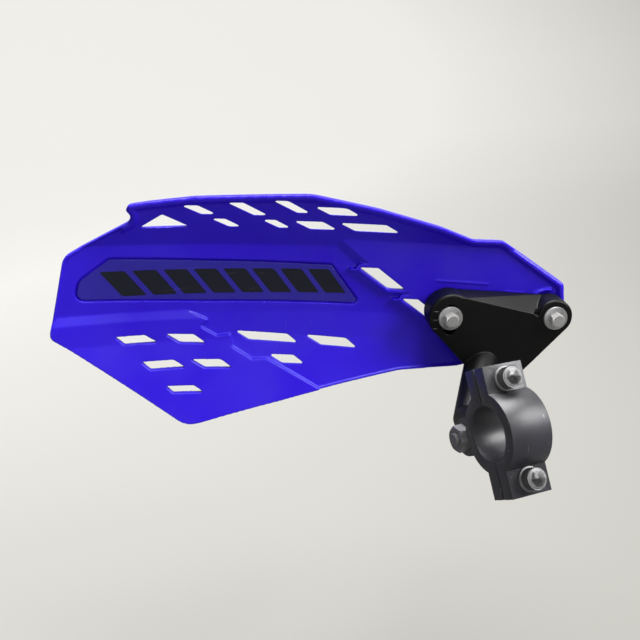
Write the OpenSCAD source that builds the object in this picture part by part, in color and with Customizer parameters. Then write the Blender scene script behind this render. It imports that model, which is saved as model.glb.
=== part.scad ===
// Open hand guard for the left end of a motorcycle handlebar.
// Frame: origin at the centre of the bar clamp's bore, +X along the bar towards the middle of
// the motorcycle, +Y forward, away from the rider, +Z up.
// The guard's own frame has its origin midway between the two shield screws, on the seat where
// the shield meets the bracket: X inboard, Y forward, Z up.

/* [Bar clamp] */
// Diameter of the handlebar
bar_d = 22.2; // [20:0.1:29]
// Width of the clamp along the bar
clamp_w = 18; // [12:1:26]
// Wall of the clamp round the bar
clamp_wall = 5; // [4:0.5:8]
// Gap left between the two clamp halves
clamp_gap = 1; // [0.4:0.1:2]
// Thickness of each clamp ear
ear_t = 6; // [4:0.5:9]
// Diameter of the clamp screws
clamp_screw_d = 5; // [4:0.5:6]
// Turn of the clamp round the bar, in degrees: at 0 its screws stand upright
clamp_turn = 60; // [40:5:80]
// Distance of the lug's bolt from the bar
lug_reach = 26; // [25:0.5:32]
// Thickness of the clamp's lug
lug_t = 8; // [6:1:10]
// Radius of the lug and of the arm's eye
eye_r = 8; // [7:0.5:9]
// Diameter of the arm bolt
arm_bolt_d = 6; // [5:0.5:8]

/* [Bracket] */
// Distance between the two shield screws
screw_gap = 51.5; // [46:0.5:56]
// Depth of the bracket, from the rider's side to the shield
bracket_t = 12; // [9:0.5:15]
// Radius of the outer boss
outer_boss_r = 11.2; // [9.5:0.1:12.5]
// Radius of the inner boss
inner_boss_r = 8.8; // [7.5:0.1:9.5]
// Radius of the bracket's foot, where the arm starts
foot_r = 7.6; // [6.5:0.1:9]
// Radius of the arm at its bend
arm_r = 6.5; // [5.5:0.5:8]
// Thickness of the arm's eye
arm_eye_t = 8; // [6:0.5:10]
// Chamfer on the bosses
boss_chamfer = 0.8; // [0.3:0.1:1.2]

/* [Tilt adjustment] */
// Travel of the shield each way, in degrees
tilt_travel = 5; // [3:0.5:6]
// Where the shield is set in its travel, in degrees above the middle mark
tilt_set = 1; // [-2:0.5:2]
// Angle between two scale marks, in degrees
mark_step = 4.2; // [3:0.1:5]
// Length of a scale mark
mark_l = 2.1; // [1.5:0.1:3]
// Width of a scale mark
mark_w = 0.7; // [0.4:0.1:0.9]
// Depth of a scale mark
mark_depth = 0.4; // [0.2:0.1:0.8]

/* [Shield fasteners] */
// Diameter of the shield screws
screw_d = 5; // [4:0.5:6]
// Width across the flats of a screw's head
head_af = 6; // [5.5:0.5:8]
// Height of a screw's head
head_h = 4; // [3:0.5:5]
// Diameter of a washer
washer_d = 11.6; // [10:0.1:13]
// Thickness of a washer
washer_t = 1.2; // [0.8:0.1:2]
// Wall of the pivot bush
bush_wall = 1; // [0.8:0.1:1.5]
// Height of a shield nut
nut_h = 4.5; // [3.5:0.1:6]
// Width across the flats of a shield nut
nut_af = 8; // [7:0.5:10]
// Radius of a shield nut's flange
nut_flange_r = 5.6; // [5:0.1:7]
// Thickness of a shield nut's flange
nut_flange_t = 1; // [0.8:0.1:1.5]

/* [Shield] */
// Wall thickness of the shield
wall_t = 3; // [2.4:0.1:4]
// Radius of the shield's bend, seen from above
bend_r = 420; // [350:10:600]
// Distance outboard of the seat at which the bend starts
bend_start = 20; // [10:1:40]
// Rise of the shield towards its outer end, in degrees
shield_rise = 4; // [0:0.5:8]
// Lean of the top band back over the hand, in degrees
top_lean = 30; // [20:1:38]
// Height of the fold below the top band
top_fold = 26.3; // [22:0.1:30]
// Lean of the first lower fold, in degrees
low_lean = 9; // [4:1:14]
// Height of the first lower fold
low_fold = -6; // [-10:0.5:-2]
// Lean of the second lower fold, in degrees
skirt_lean = 20; // [14:1:28]
// Height of the second lower fold
skirt_fold = -18; // [-24:0.5:-14]
// Depth of the middle field behind the mounting field
field_depth = 2.4; // [1.5:0.1:3]
// Height of the bosses on the shield's seat
seat_boss_h = 1.5; // [1:0.1:2.5]
// Radius of the bosses on the shield's seat
seat_boss_r = 7; // [6:0.1:8]
// Width of the bead round the edge
bead_w = 3.4; // [2.6:0.1:4]
// Height of the bead round the edge
bead_h = 1.2; // [0.6:0.1:1.3]
// Step of the lower outer pad
pad_step = 1.6; // [0.8:0.1:2]
// Depth of the recess for the panel
recess_depth = 1.2; // [0.8:0.1:1.6]
// Width of the groove round the panel
panel_groove = 0.9; // [0.4:0.1:1.5]
// Thickness of the panel
panel_t = 1; // [0.6:0.1:1.4]
// Width of the rim round the large vents
vent_rim_w = 1.9; // [1:0.1:2.5]

/* [Hidden] */
$fn = 64;

// Where the guard's seat stands from the bar, and how it is turned.
seat_at = [54, 86.8, 14.2];
seat_yaw = -18.9;
seat_roll = 1.9;
// Clearances: running fits, bolt holes and the overlap that cuts need.
run_fit = 0.05;
hole_fit = 0.3;
eps = 0.5;
// Size of the blocks and cuts that reach past the whole wall, and facets of its long arcs.
far = 400;
arc_fn = 240;

bar_r = bar_d / 2;
clamp_r = bar_r + clamp_wall;
clamp_screw_y = clamp_r + clamp_screw_d / 2 + 1;
ear_end = clamp_screw_y + clamp_screw_d + 1;
socket_head_h = clamp_screw_d;
socket_head_r = clamp_screw_d * 0.85;
clamp_washer_t = 1;
clamp_nut_h = clamp_screw_d * 0.8;
arm_washer_t = 1.5;
arm_nut_h = arm_bolt_d * 0.8;
// Length of the face cut for the bolt's head beside the arm.
arm_t = 2 * arm_r;
// Length of thread that shows past a nut.
screw_end = 1;
lug_x = lug_t / 2;
eye_x = lug_x + arm_eye_t;

outer_x = -screw_gap / 2;
inner_x = screw_gap / 2;
// The foot hangs between the bosses, nearer to the outer one.
foot_at = [-6.5, -24];
foot_spread = [10.5, -2];
// The outer boss stands a little inboard of its screw and above it.
outer_boss_at = [outer_x + 0.8, 0.4];
inner_boss_at = [inner_x, 0];
arm_bend_at = [17, 52, -22];
// Step from a boss in to the web's flanks, and the web's ends inside the bosses.
boss_inset = 0.3;
web_inset = 2;
// Crest of the web on the rider's side, as [x, z].
web_crest = [outer_boss_at + outer_boss_r * [0.45, 0.86],
    inner_boss_at + inner_boss_r * [-1.25, 0.23]];
// Relief on the foot's seat side that clears the shield's leaning skirt: its depth and top.
foot_relief = 3.4;
relief_top = foot_at.y + 9;
slot_travel = tilt_travel + 0.3;
slot_w = screw_d + 2 * hole_fit;

// Width of the rim left round the hollow in front of the mounting field.
rim_t = 2.2;

// Depths of the wall's rider side in the shield's frame.
mount_y = seat_boss_h;
field_y = mount_y + field_depth;
skirt_y = field_y - (low_fold - skirt_fold) * tan(low_lean);
wall_top = 62;
wall_bottom = -64;
wall_inboard = 60;
bend_angle = 34;

// The rider side of the wall as [depth, height] points, from the top down.
function top_depth(h) = field_y - (h - top_fold) * tan(top_lean);
function skirt_depth(h) = skirt_y - (skirt_fold - h) * tan(skirt_lean);
mount_fold = top_fold + field_depth / tan(top_lean);
mount_low = skirt_fold + (mount_y - skirt_y) / tan(skirt_lean);
field_line = [[top_depth(wall_top), wall_top], [field_y, top_fold], [field_y, low_fold],
    [skirt_y, skirt_fold], [skirt_depth(wall_bottom), wall_bottom]];
pad_top = -4.3;
pad_full = -8.3;
pad_line = [[field_y, pad_top], [low_depth(pad_full) - pad_step, pad_full],
    [skirt_y - pad_step, skirt_fold], [skirt_depth(wall_bottom) - pad_step, wall_bottom]];
function low_depth(h) = field_y - (low_fold - h) * tan(low_lean);

// Edge of the shield as [x, z, corner radius], clockwise from the outer top corner.
edge = [[-201.5, 22, 5], [-175.6, 38.4, 2.5], [-174.4, 41.2, 2.5], [-176.6, 44.4, 1.8],
    [-175.3, 46.9, 2], [-167, 48.4, 4], [-149, 50.8, 30], [-98, 53.4, 24], [-66, 47.6, 50],
    [-34.5, 40, 40], [-17, 34.1, 7], [-2.4, 34.8, 5], [32.3, 15.2, 2.5], [34.2, 6, 6],
    [34.6, -9, 5], [22, -20, 9], [-17, -30, 25], [-45, -33, 30], [-103, -46.6, 40],
    [-146.2, -55.4, 12], [-206.2, -12.8, 4]];
// Field for the panel.
panel_edge = [[-184.1, 21, 3], [-196, 11.5, 5], [-197.5, 2, 9], [-144, -0.8, 200],
    [-70.5, -2.3, 1.5], [-68.6, 0, 1.5], [-83.5, 17.7, 1.5], [-145, 19.4, 200]];
// The pad's stepped inner end, with a zigzag like the vents' ends.
pad_edge = [[-215, 2, 0], [-150, 2, 0], [-148.6, -5, 1], [-138.9, -9.6, 0.6], [-143.8, -11.8, 0.6],
    [-135.4, -16.8, 1], [-128.8, -16.2, 1], [-128, -21.8, 1], [-118.1, -27.8, 1],
    [-111.4, -27.4, 1], [-84, -42, 1], [-84, -70, 0], [-215, -70, 0]];
// Line between the middle field and the mounting field, and the width of its slope.
mount_line = [[-87.3, 18], [-31.2, -8.2]];
mount_slope_w = 5;

// Lower outer corner of the part of the edge that has the wide bead.
bead_from = [-178, 5];

// Lip round the inner boss: its thickness, the gap that it leaves to the seat, and its arc.
lip_t = 1.4;
lip_gap = 0.2;
lip_from = 82;
lip_turn = 62;

// Vents as [left, top, width, height, turn, outer slant]; each row has its own slant, which the
// outer end follows too where none is given.
high_slant = 1.85;
high_vents = [[-153.4, 46.5, 6, 4.2, 0], [-134.1, 48.2, 6, 6.1, 0], [-114.4, 49.8, 5.7, 5.9, 0],
    [-95, 47.1, 13.8, 3.7, 0], [-140.4, 39.8, 5, 3.9, 0], [-118.1, 39.6, 5.2, 3.9, 0],
    [-103.5, 39.3, 12.5, 3.9, 0], [-82.1, 39.1, 21.3, 3.9, 0]];
low_slant = 1.6;
low_vents = [[-179.5, -14.7, 12, 3.7, 0, 1], [-158.2, -14.8, 12.3, 3.9, -4, 1.7],
    [-126.1, -15.3, 24.2, 3.5, -4.7, 1.8], [-92.2, -17.8, 19.3, 3.8, -4, 2],
    [-167.5, -26.2, 13.2, 3.6, 0, 1], [-146, -26.5, 13.2, 3.7, -3, 1.7],
    [-109.3, -26.3, 11, 3.5, -3, 1.7], [-156.2, -37.2, 11.9, 3, -3, 1]];
large_slant = 1.45;
large_vents = [[-69.8, 16.8, 8.8, 10.2, 0], [-46.9, 2, 7.7, 10, 0]];
// Rounding of the vents' blunt corners, the point added at their outer tips, and the rims' tips.
vent_round = 2.2;
large_round = 1.2;
vent_point = 0.8;
rim_tip_r = 0.3;
// The small vents open wider in front: depth at which they do, and how much wider they are.
vent_lip = 1;
vent_widening = 1.1;
corner_vent = [[-171.4, 35.2, 0], [-162, 42, 0.6], [-150.6, 35.8, 0]];
// Fine ridges on the mounting field, as [left, height, length].
fine_ridges = [[-75.2, 15.5, 4], [-52.1, 1.1, 4], [3, 8.9, 10], [-31.6, 12, 26]];
ridge_w = 0.6;
ridge_h = 0.3;

function unit(v) = v / norm(v);
// Points of one rounded corner at b, between its neighbours a and c.
function corner(a, b, c, r) =
    let(
        u = unit(a - b),
        w = unit(c - b),
        half = acos(max(-1, min(1, u * w))) / 2,
        reach = min(r / tan(half), norm(a - b) * 0.48, norm(c - b) * 0.48),
        fit_r = reach * tan(half),
        mid = b + unit(u + w) * fit_r / sin(half),
        from = b + u * reach - mid,
        to = b + w * reach - mid,
        steps = r > 0 ? max(1, ceil((180 - 2 * half) / 12)) : 0)
    r <= 0 ? [b] : [for (i = [0:steps]) mid + unit(from * (1 - i / steps) + to * i / steps) * fit_r];
// A closed path with its corners rounded.
function rounded(path) =
    let(n = len(path))
    [for (i = [0:n - 1])
        let(a = path[(i + n - 1) % n], b = path[i], c = path[(i + 1) % n])
        each corner([a.x, a.y], [b.x, b.y], [c.x, c.y], b.z)];

// Carries the guard's frame into the part's frame.
module at_seat() {
    translate(seat_at)
        rotate([0, 0, seat_yaw])
            rotate([0, seat_roll, 0])
                children();
}

// Carries the shield's frame, which rises outboard, into the guard's frame.
module at_rise() {
    rotate([0, shield_rise, 0])
        children();
}

// A length along Y from y1 to y2 of an outline drawn in X and Z.
module through(y1, y2) {
    translate([0, y2, 0])
        rotate([90, 0, 0])
            linear_extrude(y2 - y1)
                children();
}

// An outline drawn right through the wall.
module through_wall() {
    through(-far / 4, far / 4)
        children();
}

// A round bar or hole along Y at [x, z].
module pin_y(x, z, r, y1, y2) {
    translate([x, y2, z])
        rotate([90, 0, 0])
            cylinder(r = r, h = y2 - y1);
}

// Bends a [depth, height] section round the hand: straight at the seat, then round an arc.
module bent(section) {
    translate([-bend_start, 0, 0])
        rotate([90, 0, 90])
            linear_extrude(wall_inboard + bend_start)
                polygon(section);
    translate([-bend_start, -bend_r, 0])
        rotate([0, 0, 90])
            rotate_extrude(angle = bend_angle, $fn = arc_fn)
                translate([bend_r, 0])
                    polygon(section);
}

// A slab between two depths from a rider-side line.
function slab(line, near, far) = concat(
    [for (p = line) [p[0] + near, p[1]]],
    [for (i = [len(line) - 1:-1:0]) [line[i][0] + far, line[i][1]]]);

module edge_outline(inset = 0) {
    offset(delta = -inset)
        polygon(rounded(edge));
}

module edge_prism(inset = 0) {
    through_wall()
        edge_outline(inset);
}

module edge_ring(outer, inner) {
    difference() {
        edge_outline(outer);
        edge_outline(inner);
    }
}

// The part of an outline that lies along the shield's top and inboard edges.
module upper_part() {
    intersection() {
        children();
        translate(bead_from)
            square(far);
    }
}

// Slant of a vent's outer end.
function outer_slant(v, slant) = len(v) > 5 ? v[5] : slant;

// One vent: a slanted slot with two sharp tips, and blunt corners except where its outer end is steep.
module vent_outline(v, slant, blunt, tip = 0, grow = 0) {
    outer = outer_slant(v, slant);
    translate([v[0], v[1]])
        rotate(v[4])
            offset(delta = grow)
                polygon(rounded([[-vent_point, 0, tip], [v[2], 0, blunt],
                    [v[2] + v[3] * slant, -v[3], tip],
                    [v[3] * outer, -v[3], outer < slant ? blunt / 4 : blunt]]));
}

// The side of the slope between the two fields that faces the seat.
module mount_half(shift) {
    along = mount_line[1] - mount_line[0];
    translate([mount_line[0].x, field_y, mount_line[0].y])
        rotate([0, atan2(-along.y, along.x), 0])
            translate([0, 0, shift])
                rotate([atan2(field_depth, mount_slope_w) - 90, 0, 0])
                    translate([-far / 2, -far / 2, 0])
                        cube(far);
}

// Mounting field: a thicker step towards the rider, with its hollow in front.
module mount_field() {
    intersection() {
        bent([[mount_y, mount_low], [mount_y, mount_fold], [field_y + eps, top_fold],
            [field_y + eps, low_fold], [skirt_y + eps, skirt_fold]]);
        edge_prism();
        mount_half(0);
    }
}

module mount_hollow() {
    intersection() {
        bent([[mount_y + wall_t, mount_low + wall_t], [mount_y + wall_t, mount_fold],
            [field_y + wall_t, top_fold], [field_y + wall_t + eps, top_fold],
            [field_y + wall_t + eps, low_fold], [field_y + wall_t, low_fold]]);
        edge_prism(rim_t);
        mount_half(wall_t);
    }
}

// Lower outer pad: a step towards the rider that ends in a zigzag.
module lower_pad() {
    intersection() {
        bent(concat(pad_line, [[skirt_depth(wall_bottom) + eps, wall_bottom],
            [skirt_y + eps, skirt_fold], [field_y + eps, low_fold], [field_y + eps, pad_top]]));
        edge_prism();
        through_wall()
            polygon(rounded(pad_edge));
    }
}

// One step of the bead, raised by h from the wall and from the mounting field.
module bead_step(h) {
    mount_rise = [[mount_y, wall_bottom / 2], [mount_y, mount_fold], [field_y, top_fold],
        [field_y, wall_bottom / 2]];
    intersection() {
        bent(slab(field_line, -h, eps));
        through_wall()
            children();
    }
    intersection() {
        translate([0, -h, 0])
            bent(mount_rise);
        mount_half(0);
        through_wall()
            children();
    }
}

// Bead round the edge: wide and stepped along the top and inboard, narrow elsewhere.
module shield_bead() {
    bead_step(bead_h / 2) {
        edge_ring(0, bead_w / 3);
        upper_part()
            edge_ring(0, bead_w);
    }
    bead_step(bead_h)
        upper_part()
            edge_ring(bead_w / 4, bead_w * 3 / 4);
}

// Raised shapes on the mounting field, h high.
module mount_raised(h) {
    intersection() {
        bent([[mount_y - h, wall_bottom / 2], [mount_y - h, mount_fold],
            [field_y + eps, top_fold], [field_y + eps, wall_bottom / 2]]);
        through_wall()
            children();
    }
}

module raised_details() {
    mount_raised(0)
        for (v = large_vents)
            vent_outline(v, large_slant, large_round, rim_tip_r, vent_rim_w);
    mount_raised(ridge_h)
        for (r = fine_ridges)
            translate([r[0], r[1]])
                square([r[2], ridge_w]);
}

// The wider opening in front of a small vent, with its two sharp tips cut off.
module vent_mouth(v, slant) {
    g = vent_widening;
    drop = v[3] + g;
    translate([v[0], v[1]])
        rotate(v[4])
            polygon([[-vent_point - g, g], [v[2] + g, g], [v[2] + g + v[3] * slant, -v[3]],
                [v[2] + g + v[3] * slant, -drop], [v[3] * outer_slant(v, slant) - g, -drop],
                [-vent_point - g, -g / 4]]);
}

module vent_cuts() {
    through_wall() {
        for (v = high_vents)
            vent_outline(v, high_slant, vent_round);
        for (v = low_vents)
            vent_outline(v, low_slant, vent_round);
        for (v = large_vents)
            vent_outline(v, large_slant, large_round);
        polygon(rounded(corner_vent));
    }
    intersection() {
        bent(slab(field_line, vent_lip, wall_t + eps));
        through_wall() {
            for (v = high_vents)
                vent_mouth(v, high_slant);
            for (v = low_vents)
                vent_mouth(v, low_slant);
        }
    }
}

module panel_recess() {
    intersection() {
        bent(slab(field_line, -eps, recess_depth));
        through_wall()
            polygon(rounded(panel_edge));
    }
}

// Curved lip that steadies the shield round the bracket's inner boss.
module seat_lip() {
    translate([inner_x, mount_y + eps, 0])
        rotate([90, 0, 0])
            rotate([0, 0, lip_from])
                rotate_extrude(angle = lip_turn)
                    translate([inner_boss_r + 2 * hole_fit, 0])
                        square([lip_t, mount_y + eps - lip_gap]);
}

module shield() {
    color("mediumblue")
        at_seat()
            difference() {
                union() {
                    at_rise()
                        difference() {
                            union() {
                                intersection() {
                                    bent(slab(field_line, 0, wall_t));
                                    edge_prism();
                                }
                                mount_field();
                                lower_pad();
                                shield_bead();
                                raised_details();
                            }
                            mount_hollow();
                            vent_cuts();
                            panel_recess();
                        }
                    for (x = [outer_x, inner_x])
                        pin_y(x, 0, seat_boss_r, 0, mount_y + wall_t);
                    seat_lip();
                }
                for (x = [outer_x, inner_x])
                    pin_y(x, 0, screw_d / 2 + run_fit, -eps, mount_y + wall_t + 2 * eps);
            }
}

module graphic_panel() {
    color("slateblue")
        at_seat()
            at_rise()
                intersection() {
                    bent(slab(field_line, recess_depth - panel_t, recess_depth));
                    through_wall()
                        offset(delta = -panel_groove)
                            polygon(rounded(panel_edge));
                }
}

// Outline of the bracket seen from the rider: from each boss down to the foot.
module bracket_outline() {
    inner_foot = foot_at + foot_spread;
    for (side = [[outer_boss_at, outer_boss_r, foot_at], [inner_boss_at, inner_boss_r, inner_foot]])
        hull() {
            translate(side[0])
                circle(side[1] - boss_inset);
            translate(side[2])
                circle(foot_r);
        }
    polygon([outer_boss_at, inner_boss_at, inner_foot, foot_at]);
}

// Web between the bosses: level along the shield, dipping to a low point on the rider's side.
module bracket_web() {
    low = foot_at.y / 6;
    low_ends = [[outer_boss_at.x, low], [inner_boss_at.x, low]];
    seat_side = [low_ends[0], outer_boss_at + [web_inset, outer_boss_r - 2 * boss_inset],
        inner_boss_at + [-web_inset, inner_boss_r - 2 * boss_inset], low_ends[1]];
    rider_side = [low_ends[0], web_crest[0], web_crest[1], low_ends[1]];
    polyhedron(
        points = concat([for (p = seat_side) [p.x, 0, p.y]],
            [for (p = rider_side) [p.x, -bracket_t, p.y]]),
        faces = [[3, 2, 1, 0], [4, 5, 6, 7], [1, 5, 4, 0], [2, 5, 1], [6, 5, 2], [3, 7, 6, 2],
            [0, 4, 7, 3]]);
}

// A boss with its rim chamfered on the rider's side.
module boss(at, r) {
    pin_y(at.x, at.y, r, boss_chamfer - bracket_t, 0);
    translate([at.x, boss_chamfer - bracket_t, at.y])
        rotate([90, 0, 0])
            cylinder(r1 = r, r2 = r - boss_chamfer, h = boss_chamfer);
}

// Points of an arc, without its last one.
function arc(mid, r, from, to, n) =
    [for (i = [0:n - 1]) mid + r * [cos(from + (to - from) * i / n), sin(from + (to - from) * i / n)]];

// Slot in the outer boss that lets the shield tilt about the inner screw.
module tilt_slot() {
    pivot = [inner_x, 0];
    low = 180 + tilt_set - slot_travel;
    high = 180 + tilt_set + slot_travel;
    low_end = pivot + screw_gap * [cos(low), sin(low)];
    high_end = pivot + screw_gap * [cos(high), sin(high)];
    through(-bracket_t - eps, eps)
        polygon(concat(arc(pivot, screw_gap + slot_w / 2, low, high, 6),
            arc(high_end, slot_w / 2, high, high + 180, 16),
            arc(pivot, screw_gap - slot_w / 2, high, low, 6),
            arc(low_end, slot_w / 2, low + 180, low + 360, 16)));
}

// Scale beside the outer washer.
module tilt_marks() {
    mark_from = screw_gap + washer_d / 2 + 0.3;
    for (a = [-mark_step, 0, mark_step])
        translate([inner_x, -bracket_t - eps, 0])
            rotate([0, 180 - tilt_set + a, 0])
                translate([mark_from, 0, -mark_w / 2])
                    cube([mark_l, mark_depth + eps, mark_w]);
}

// Carries the clamp's frame, whose screws stand along Z, into the part's frame.
module at_clamp() {
    rotate([clamp_turn, 0, 0])
        children();
}

// A round bar or hole along the arm bolt's axis, in the clamp's frame.
module eye(r, x1, x2) {
    translate([x1, 0, -lug_reach])
        rotate([0, 90, 0])
            cylinder(r = r, h = x2 - x1);
}

module arm_bend() {
    translate(arm_bend_at)
        sphere(arm_r, $fn = 32);
}

module arm() {
    hull() {
        at_seat()
            translate([foot_at.x, -1, foot_at.y])
                rotate([90, 0, 0])
                    cylinder(r = foot_r - 2 * boss_inset, h = bracket_t - 2, $fn = 32);
        arm_bend();
    }
    hull() {
        arm_bend();
        at_clamp()
            eye(eye_r - 0.5, lug_x + 0.5, eye_x - 0.5, $fn = 32);
    }
    at_clamp()
        eye(eye_r, lug_x, eye_x);
}

module bracket() {
    color([0.07, 0.07, 0.07])
        difference() {
            union() {
                at_seat() {
                    boss(outer_boss_at, outer_boss_r);
                    boss(inner_boss_at, inner_boss_r);
                    through(-bracket_t, 0)
                        difference() {
                            bracket_outline();
                            translate([-far / 2, 0])
                                square(far);
                        }
                    bracket_web();
                }
                arm();
            }
            at_seat() {
                pin_y(inner_x, 0, screw_d / 2 + run_fit + bush_wall, -bracket_t - eps, eps);
                tilt_slot();
                tilt_marks();
                translate([-far / 2, -foot_relief, relief_top - far])
                    cube(far);
            }
            at_clamp() {
                eye(arm_bolt_d / 2 + run_fit, lug_x - eps, eye_x + eps);
                eye(arm_bolt_d + hole_fit, eye_x, eye_x + arm_t);
            }
        }
}

module pivot_bush() {
    color("gray")
        at_seat()
            difference() {
                pin_y(inner_x, 0, screw_d / 2 + run_fit + bush_wall, -bracket_t, 0);
                pin_y(inner_x, 0, screw_d / 2 + run_fit, -bracket_t - eps, eps);
            }
}

// Hex screw of a shield seat, from its head on the rider's side to its tip in front.
module shield_screw(x) {
    head_at = -bracket_t - washer_t;
    tip_at = mount_y + wall_t + nut_h + screw_end;
    color("silver")
        at_seat() {
            pin_y(x, 0, screw_d / 2, head_at - eps, tip_at);
            translate([x, head_at, 0])
                rotate([90, 0, 0])
                    cylinder(d = head_af / cos(30), h = head_h, $fn = 6);
        }
}

module shield_washer(x) {
    color("silver")
        at_seat()
            difference() {
                pin_y(x, 0, washer_d / 2, -bracket_t - washer_t, -bracket_t);
                pin_y(x, 0, screw_d / 2 + run_fit, -bracket_t - washer_t - eps, eps - bracket_t);
            }
}

// Flange nut in front of the shield.
module shield_nut(x) {
    from = mount_y + wall_t;
    color("silver")
        at_seat()
            difference() {
                union() {
                    pin_y(x, 0, nut_flange_r, from, from + nut_flange_t);
                    translate([x, from + nut_h, 0])
                        rotate([90, 0, 0])
                            cylinder(d = nut_af / cos(30), h = nut_h, $fn = 6);
                }
                pin_y(x, 0, screw_d / 2, from - eps, from + nut_h + eps);
            }
}

// One half of the bar clamp, drawn above the bar.
module clamp_half() {
    difference() {
        union() {
            translate([-clamp_w / 2, 0, 0])
                rotate([90, 0, 90])
                    cylinder(r = clamp_r, h = clamp_w);
            translate([-clamp_w / 2, -ear_end, 0])
                cube([clamp_w, 2 * ear_end, ear_t + clamp_gap / 2]);
        }
        translate([-clamp_w, -2 * clamp_r, clamp_gap / 2 - 3 * clamp_r])
            cube([2 * clamp_w, 4 * clamp_r, 3 * clamp_r]);
        translate([-clamp_w, 0, 0])
            rotate([90, 0, 90])
                cylinder(r = bar_r, h = 2 * clamp_w);
        for (y = [-clamp_screw_y, clamp_screw_y])
            translate([0, y, -eps])
                cylinder(r = clamp_screw_d / 2 + run_fit, h = clamp_r);
    }
}

module clamp_cap() {
    color("dimgray")
        at_clamp()
            clamp_half();
}

module clamp_body() {
    color("dimgray")
        at_clamp()
            difference() {
                union() {
                    mirror([0, 0, 1])
                        clamp_half();
                    clamp_lug();
                }
                eye(arm_bolt_d / 2 + run_fit, -lug_x - eps, lug_x + eps);
            }
}

// Lug below the clamp's body, blended into its wall.
module clamp_lug() {
    difference() {
        union() {
            eye(eye_r, -lug_x, lug_x);
            translate([-lug_x, -eye_r, -lug_reach])
                cube([2 * lug_x, 2 * eye_r, lug_reach - bar_r]);
        }
        translate([-clamp_w, 0, 0])
            rotate([90, 0, 90])
                cylinder(r = bar_r + clamp_wall / 2, h = 2 * clamp_w);
    }
}

// Cap screw through both ears, with its washer on the cap and its nut on the body.
module clamp_screw(y) {
    head_at = ear_t + clamp_gap / 2 + clamp_washer_t;
    color("silver")
        at_clamp()
            difference() {
                union() {
                    translate([0, y, head_at])
                        cylinder(r = socket_head_r, h = socket_head_h);
                    translate([0, y, -ear_t - clamp_gap / 2 - clamp_nut_h - screw_end])
                        cylinder(d = clamp_screw_d,
                            h = head_at + ear_t + clamp_gap / 2 + clamp_nut_h + screw_end + eps);
                }
                translate([0, y, head_at + socket_head_h / 2])
                    cylinder(r = clamp_screw_d * 0.46, h = socket_head_h, $fn = 6);
            }
}

module clamp_washer(y) {
    color("silver")
        at_clamp()
            translate([0, y, ear_t + clamp_gap / 2])
                difference() {
                    cylinder(r = clamp_screw_d, h = clamp_washer_t);
                    translate([0, 0, -eps])
                        cylinder(r = clamp_screw_d / 2 + run_fit, h = clamp_washer_t + 2 * eps);
                }
}

module clamp_nut(y) {
    color("silver")
        at_clamp()
            translate([0, y, -ear_t - clamp_gap / 2 - clamp_nut_h])
                difference() {
                    cylinder(r = clamp_screw_d * 0.92, h = clamp_nut_h, $fn = 6);
                    translate([0, 0, -eps])
                        cylinder(d = clamp_screw_d, h = clamp_nut_h + 2 * eps);
                }
}

// Bolt through the lug and the arm's eye, its head on the inboard side.
module arm_bolt() {
    head_at = eye_x + arm_washer_t;
    color("silver")
        at_clamp() {
            eye(arm_bolt_d / 2, -lug_x - arm_nut_h - screw_end, head_at);
            eye(arm_bolt_d * 0.96, head_at, head_at + arm_bolt_d * 0.65, $fn = 6);
        }
}

module arm_washer() {
    color("silver")
        at_clamp()
            difference() {
                eye(arm_bolt_d, eye_x, eye_x + arm_washer_t);
                eye(arm_bolt_d / 2 + run_fit, eye_x - eps, eye_x + arm_washer_t + eps);
            }
}

module arm_nut() {
    color("silver")
        at_clamp()
            difference() {
                eye(arm_bolt_d * 0.96, -lug_x - arm_nut_h, -lug_x, $fn = 6);
                eye(arm_bolt_d / 2, -lug_x - arm_nut_h - eps, eps - lug_x);
            }
}

shield();
graphic_panel();
bracket();
pivot_bush();
shield_screw(outer_x);  // outer_shield_screw
shield_screw(inner_x);  // inner_shield_screw
shield_washer(outer_x);  // outer_shield_washer
shield_washer(inner_x);  // inner_shield_washer
shield_nut(outer_x);  // outer_shield_nut
shield_nut(inner_x);  // inner_shield_nut
clamp_body();
clamp_cap();
clamp_screw(clamp_screw_y);  // front_clamp_screw
clamp_screw(-clamp_screw_y);  // rear_clamp_screw
clamp_washer(clamp_screw_y);  // front_clamp_washer
clamp_washer(-clamp_screw_y);  // rear_clamp_washer
clamp_nut(clamp_screw_y);  // front_clamp_nut
clamp_nut(-clamp_screw_y);  // rear_clamp_nut
arm_bolt();
arm_washer();
arm_nut();
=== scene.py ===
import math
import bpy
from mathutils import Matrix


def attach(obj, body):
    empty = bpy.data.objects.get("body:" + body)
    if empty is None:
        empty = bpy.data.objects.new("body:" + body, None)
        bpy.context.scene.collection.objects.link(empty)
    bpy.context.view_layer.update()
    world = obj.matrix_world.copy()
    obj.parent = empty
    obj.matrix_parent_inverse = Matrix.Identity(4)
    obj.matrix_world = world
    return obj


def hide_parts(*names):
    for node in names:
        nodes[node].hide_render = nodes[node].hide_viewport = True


bl_info = {
    "name": "Vented Hand Guard",
    "version": (1, 0, 0),
    "blender": (4, 5, 0),
    "location": "View3D > Sidebar > Hand Guard",
    "description": "Dresses the CAD model of an open handlebar hand guard and its studio",
    "category": "Object",
}

import bmesh
import bpy
from mathutils import Matrix, Vector

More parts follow.
